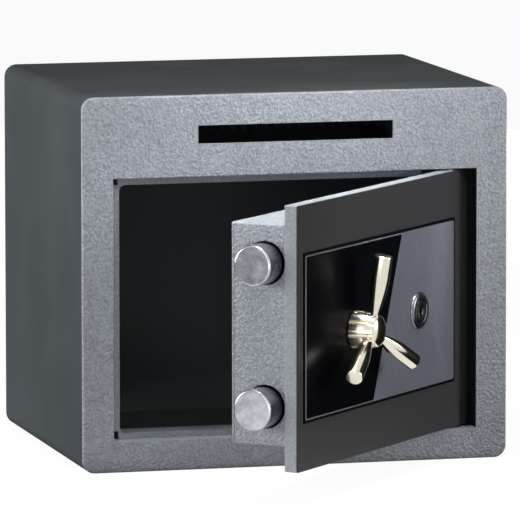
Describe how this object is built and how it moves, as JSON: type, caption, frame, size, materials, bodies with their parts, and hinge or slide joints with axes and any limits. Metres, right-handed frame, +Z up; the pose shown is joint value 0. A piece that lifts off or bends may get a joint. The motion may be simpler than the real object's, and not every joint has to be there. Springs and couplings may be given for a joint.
{
  "type": "deposit safe",
  "caption": "Small steel safe with a front deposit slot and a hinged door, whose round bolts are thrown by a turning handle and blocked by a key lock.",
  "frame": {"origin": "centre of the cabinet's underside, below the middle of its width and depth", "axes": "+X to the right seen from the front, +Y to the back (the front face looks along -Y), +Z up"},
  "size_m": [0.35, 0.4808, 0.3],
  "materials": {
    "body_paint": "smooth semi-gloss dark grey paint",
    "hammer_paint": "silver-grey fine hammered paint",
    "fascia_paint": "satin charcoal paint",
    "panel_silver": "satin silver lacquer",
    "black_gloss": "polished black",
    "chrome": "bright plated",
    "zinc": "bright zinc plated",
    "plain_steel": "plain steel",
    "brass": "machined",
    "black_plastic": "matt black",
    "mat_felt": "ribbed black felt"
  },
  "bodies": {
    "cabinet": {"body_wrap": "body_paint", "back_plate": "body_paint", "front_frame": "hammer_paint", "door_stop": "hammer_paint", "deposit_chute": "plain_steel", "anti_fish_comb": "plain_steel", "floor_mat": "mat_felt", "base_anchor_plug_left": "black_plastic", "base_anchor_plug_right": "black_plastic", "back_anchor_plug_left": "black_plastic", "back_anchor_plug_right": "black_plastic", "hinge_block_bottom": "plain_steel", "hinge_block_top": "plain_steel", "hinge_pin_bottom": "plain_steel", "hinge_pin_top": "plain_steel", "thrust_washer": "brass"},
    "door": {"door_plate": "hammer_paint", "door_fascia": "fascia_paint", "escutcheon_base": "panel_silver", "gloss_panel": "black_gloss", "panel_gasket": "black_plastic", "lock_rosette": "chrome", "spindle_bush": "brass", "door_pan": "hammer_paint", "pan_cover": "hammer_paint", "cover_screw_1": "zinc", "cover_screw_2": "zinc", "cover_screw_3": "zinc", "cover_screw_4": "zinc", "dog_bar": "plain_steel", "guide_bracket": "plain_steel", "arm_guide": "plain_steel", "lock_case": "zinc", "lock_screw_1": "zinc", "lock_screw_2": "zinc"},
    "handle": {"handle_hub": "chrome", "handle_spoke_1": "chrome", "handle_spoke_2": "chrome", "handle_spoke_3": "chrome", "hub_set_screw": "zinc", "handle_spindle": "plain_steel", "crank_plate": "plain_steel", "spindle_nut": "zinc"},
    "bolts": {"lower_bolt": "chrome", "upper_bolt": "chrome", "lower_bolt_screw": "zinc", "upper_bolt_screw": "zinc", "bolt_carriage": "zinc"},
    "key_barrel": {"key_plug": "chrome"},
    "key_bolt": {"lock_bolt": "brass"}
  },
  "joints": [
    {"name": "door_hinge", "type": "hinge", "parent": "cabinet", "child": "door", "pos_m": [0.129, -0.133, 0.13], "axis": [0, 0, 1], "range_deg": [-47.5, 57.5]},
    {"name": "handle_turn", "type": "hinge", "parent": "door", "child": "handle", "pos_m": [0.01289, -0.27007, 0.1265], "axis": [-0.7373, 0.6756, 0], "range_deg": [0, 60]},
    {"name": "bolt_slide", "type": "slide", "parent": "door", "child": "bolts", "axis": [0.6756, 0.7373, 0], "range_m": [0, 0.02]},
    {"name": "key_turn", "type": "hinge", "parent": "door", "child": "key_barrel", "pos_m": [0.08619, -0.19008, 0.1286], "axis": [0.7373, -0.6756, 0], "range_deg": [0, 90]},
    {"name": "key_bolt_slide", "type": "slide", "parent": "door", "child": "key_bolt", "axis": [0, 0, 1], "range_m": [0, 0.009]}
  ],
  "couplings": [
    {"joint": "bolt_slide", "follows": "handle_turn", "m_per_rad": 0.019098},
    {"joint": "key_turn", "follows": "key_bolt_slide", "rad_per_m": 174.53}
  ]
}
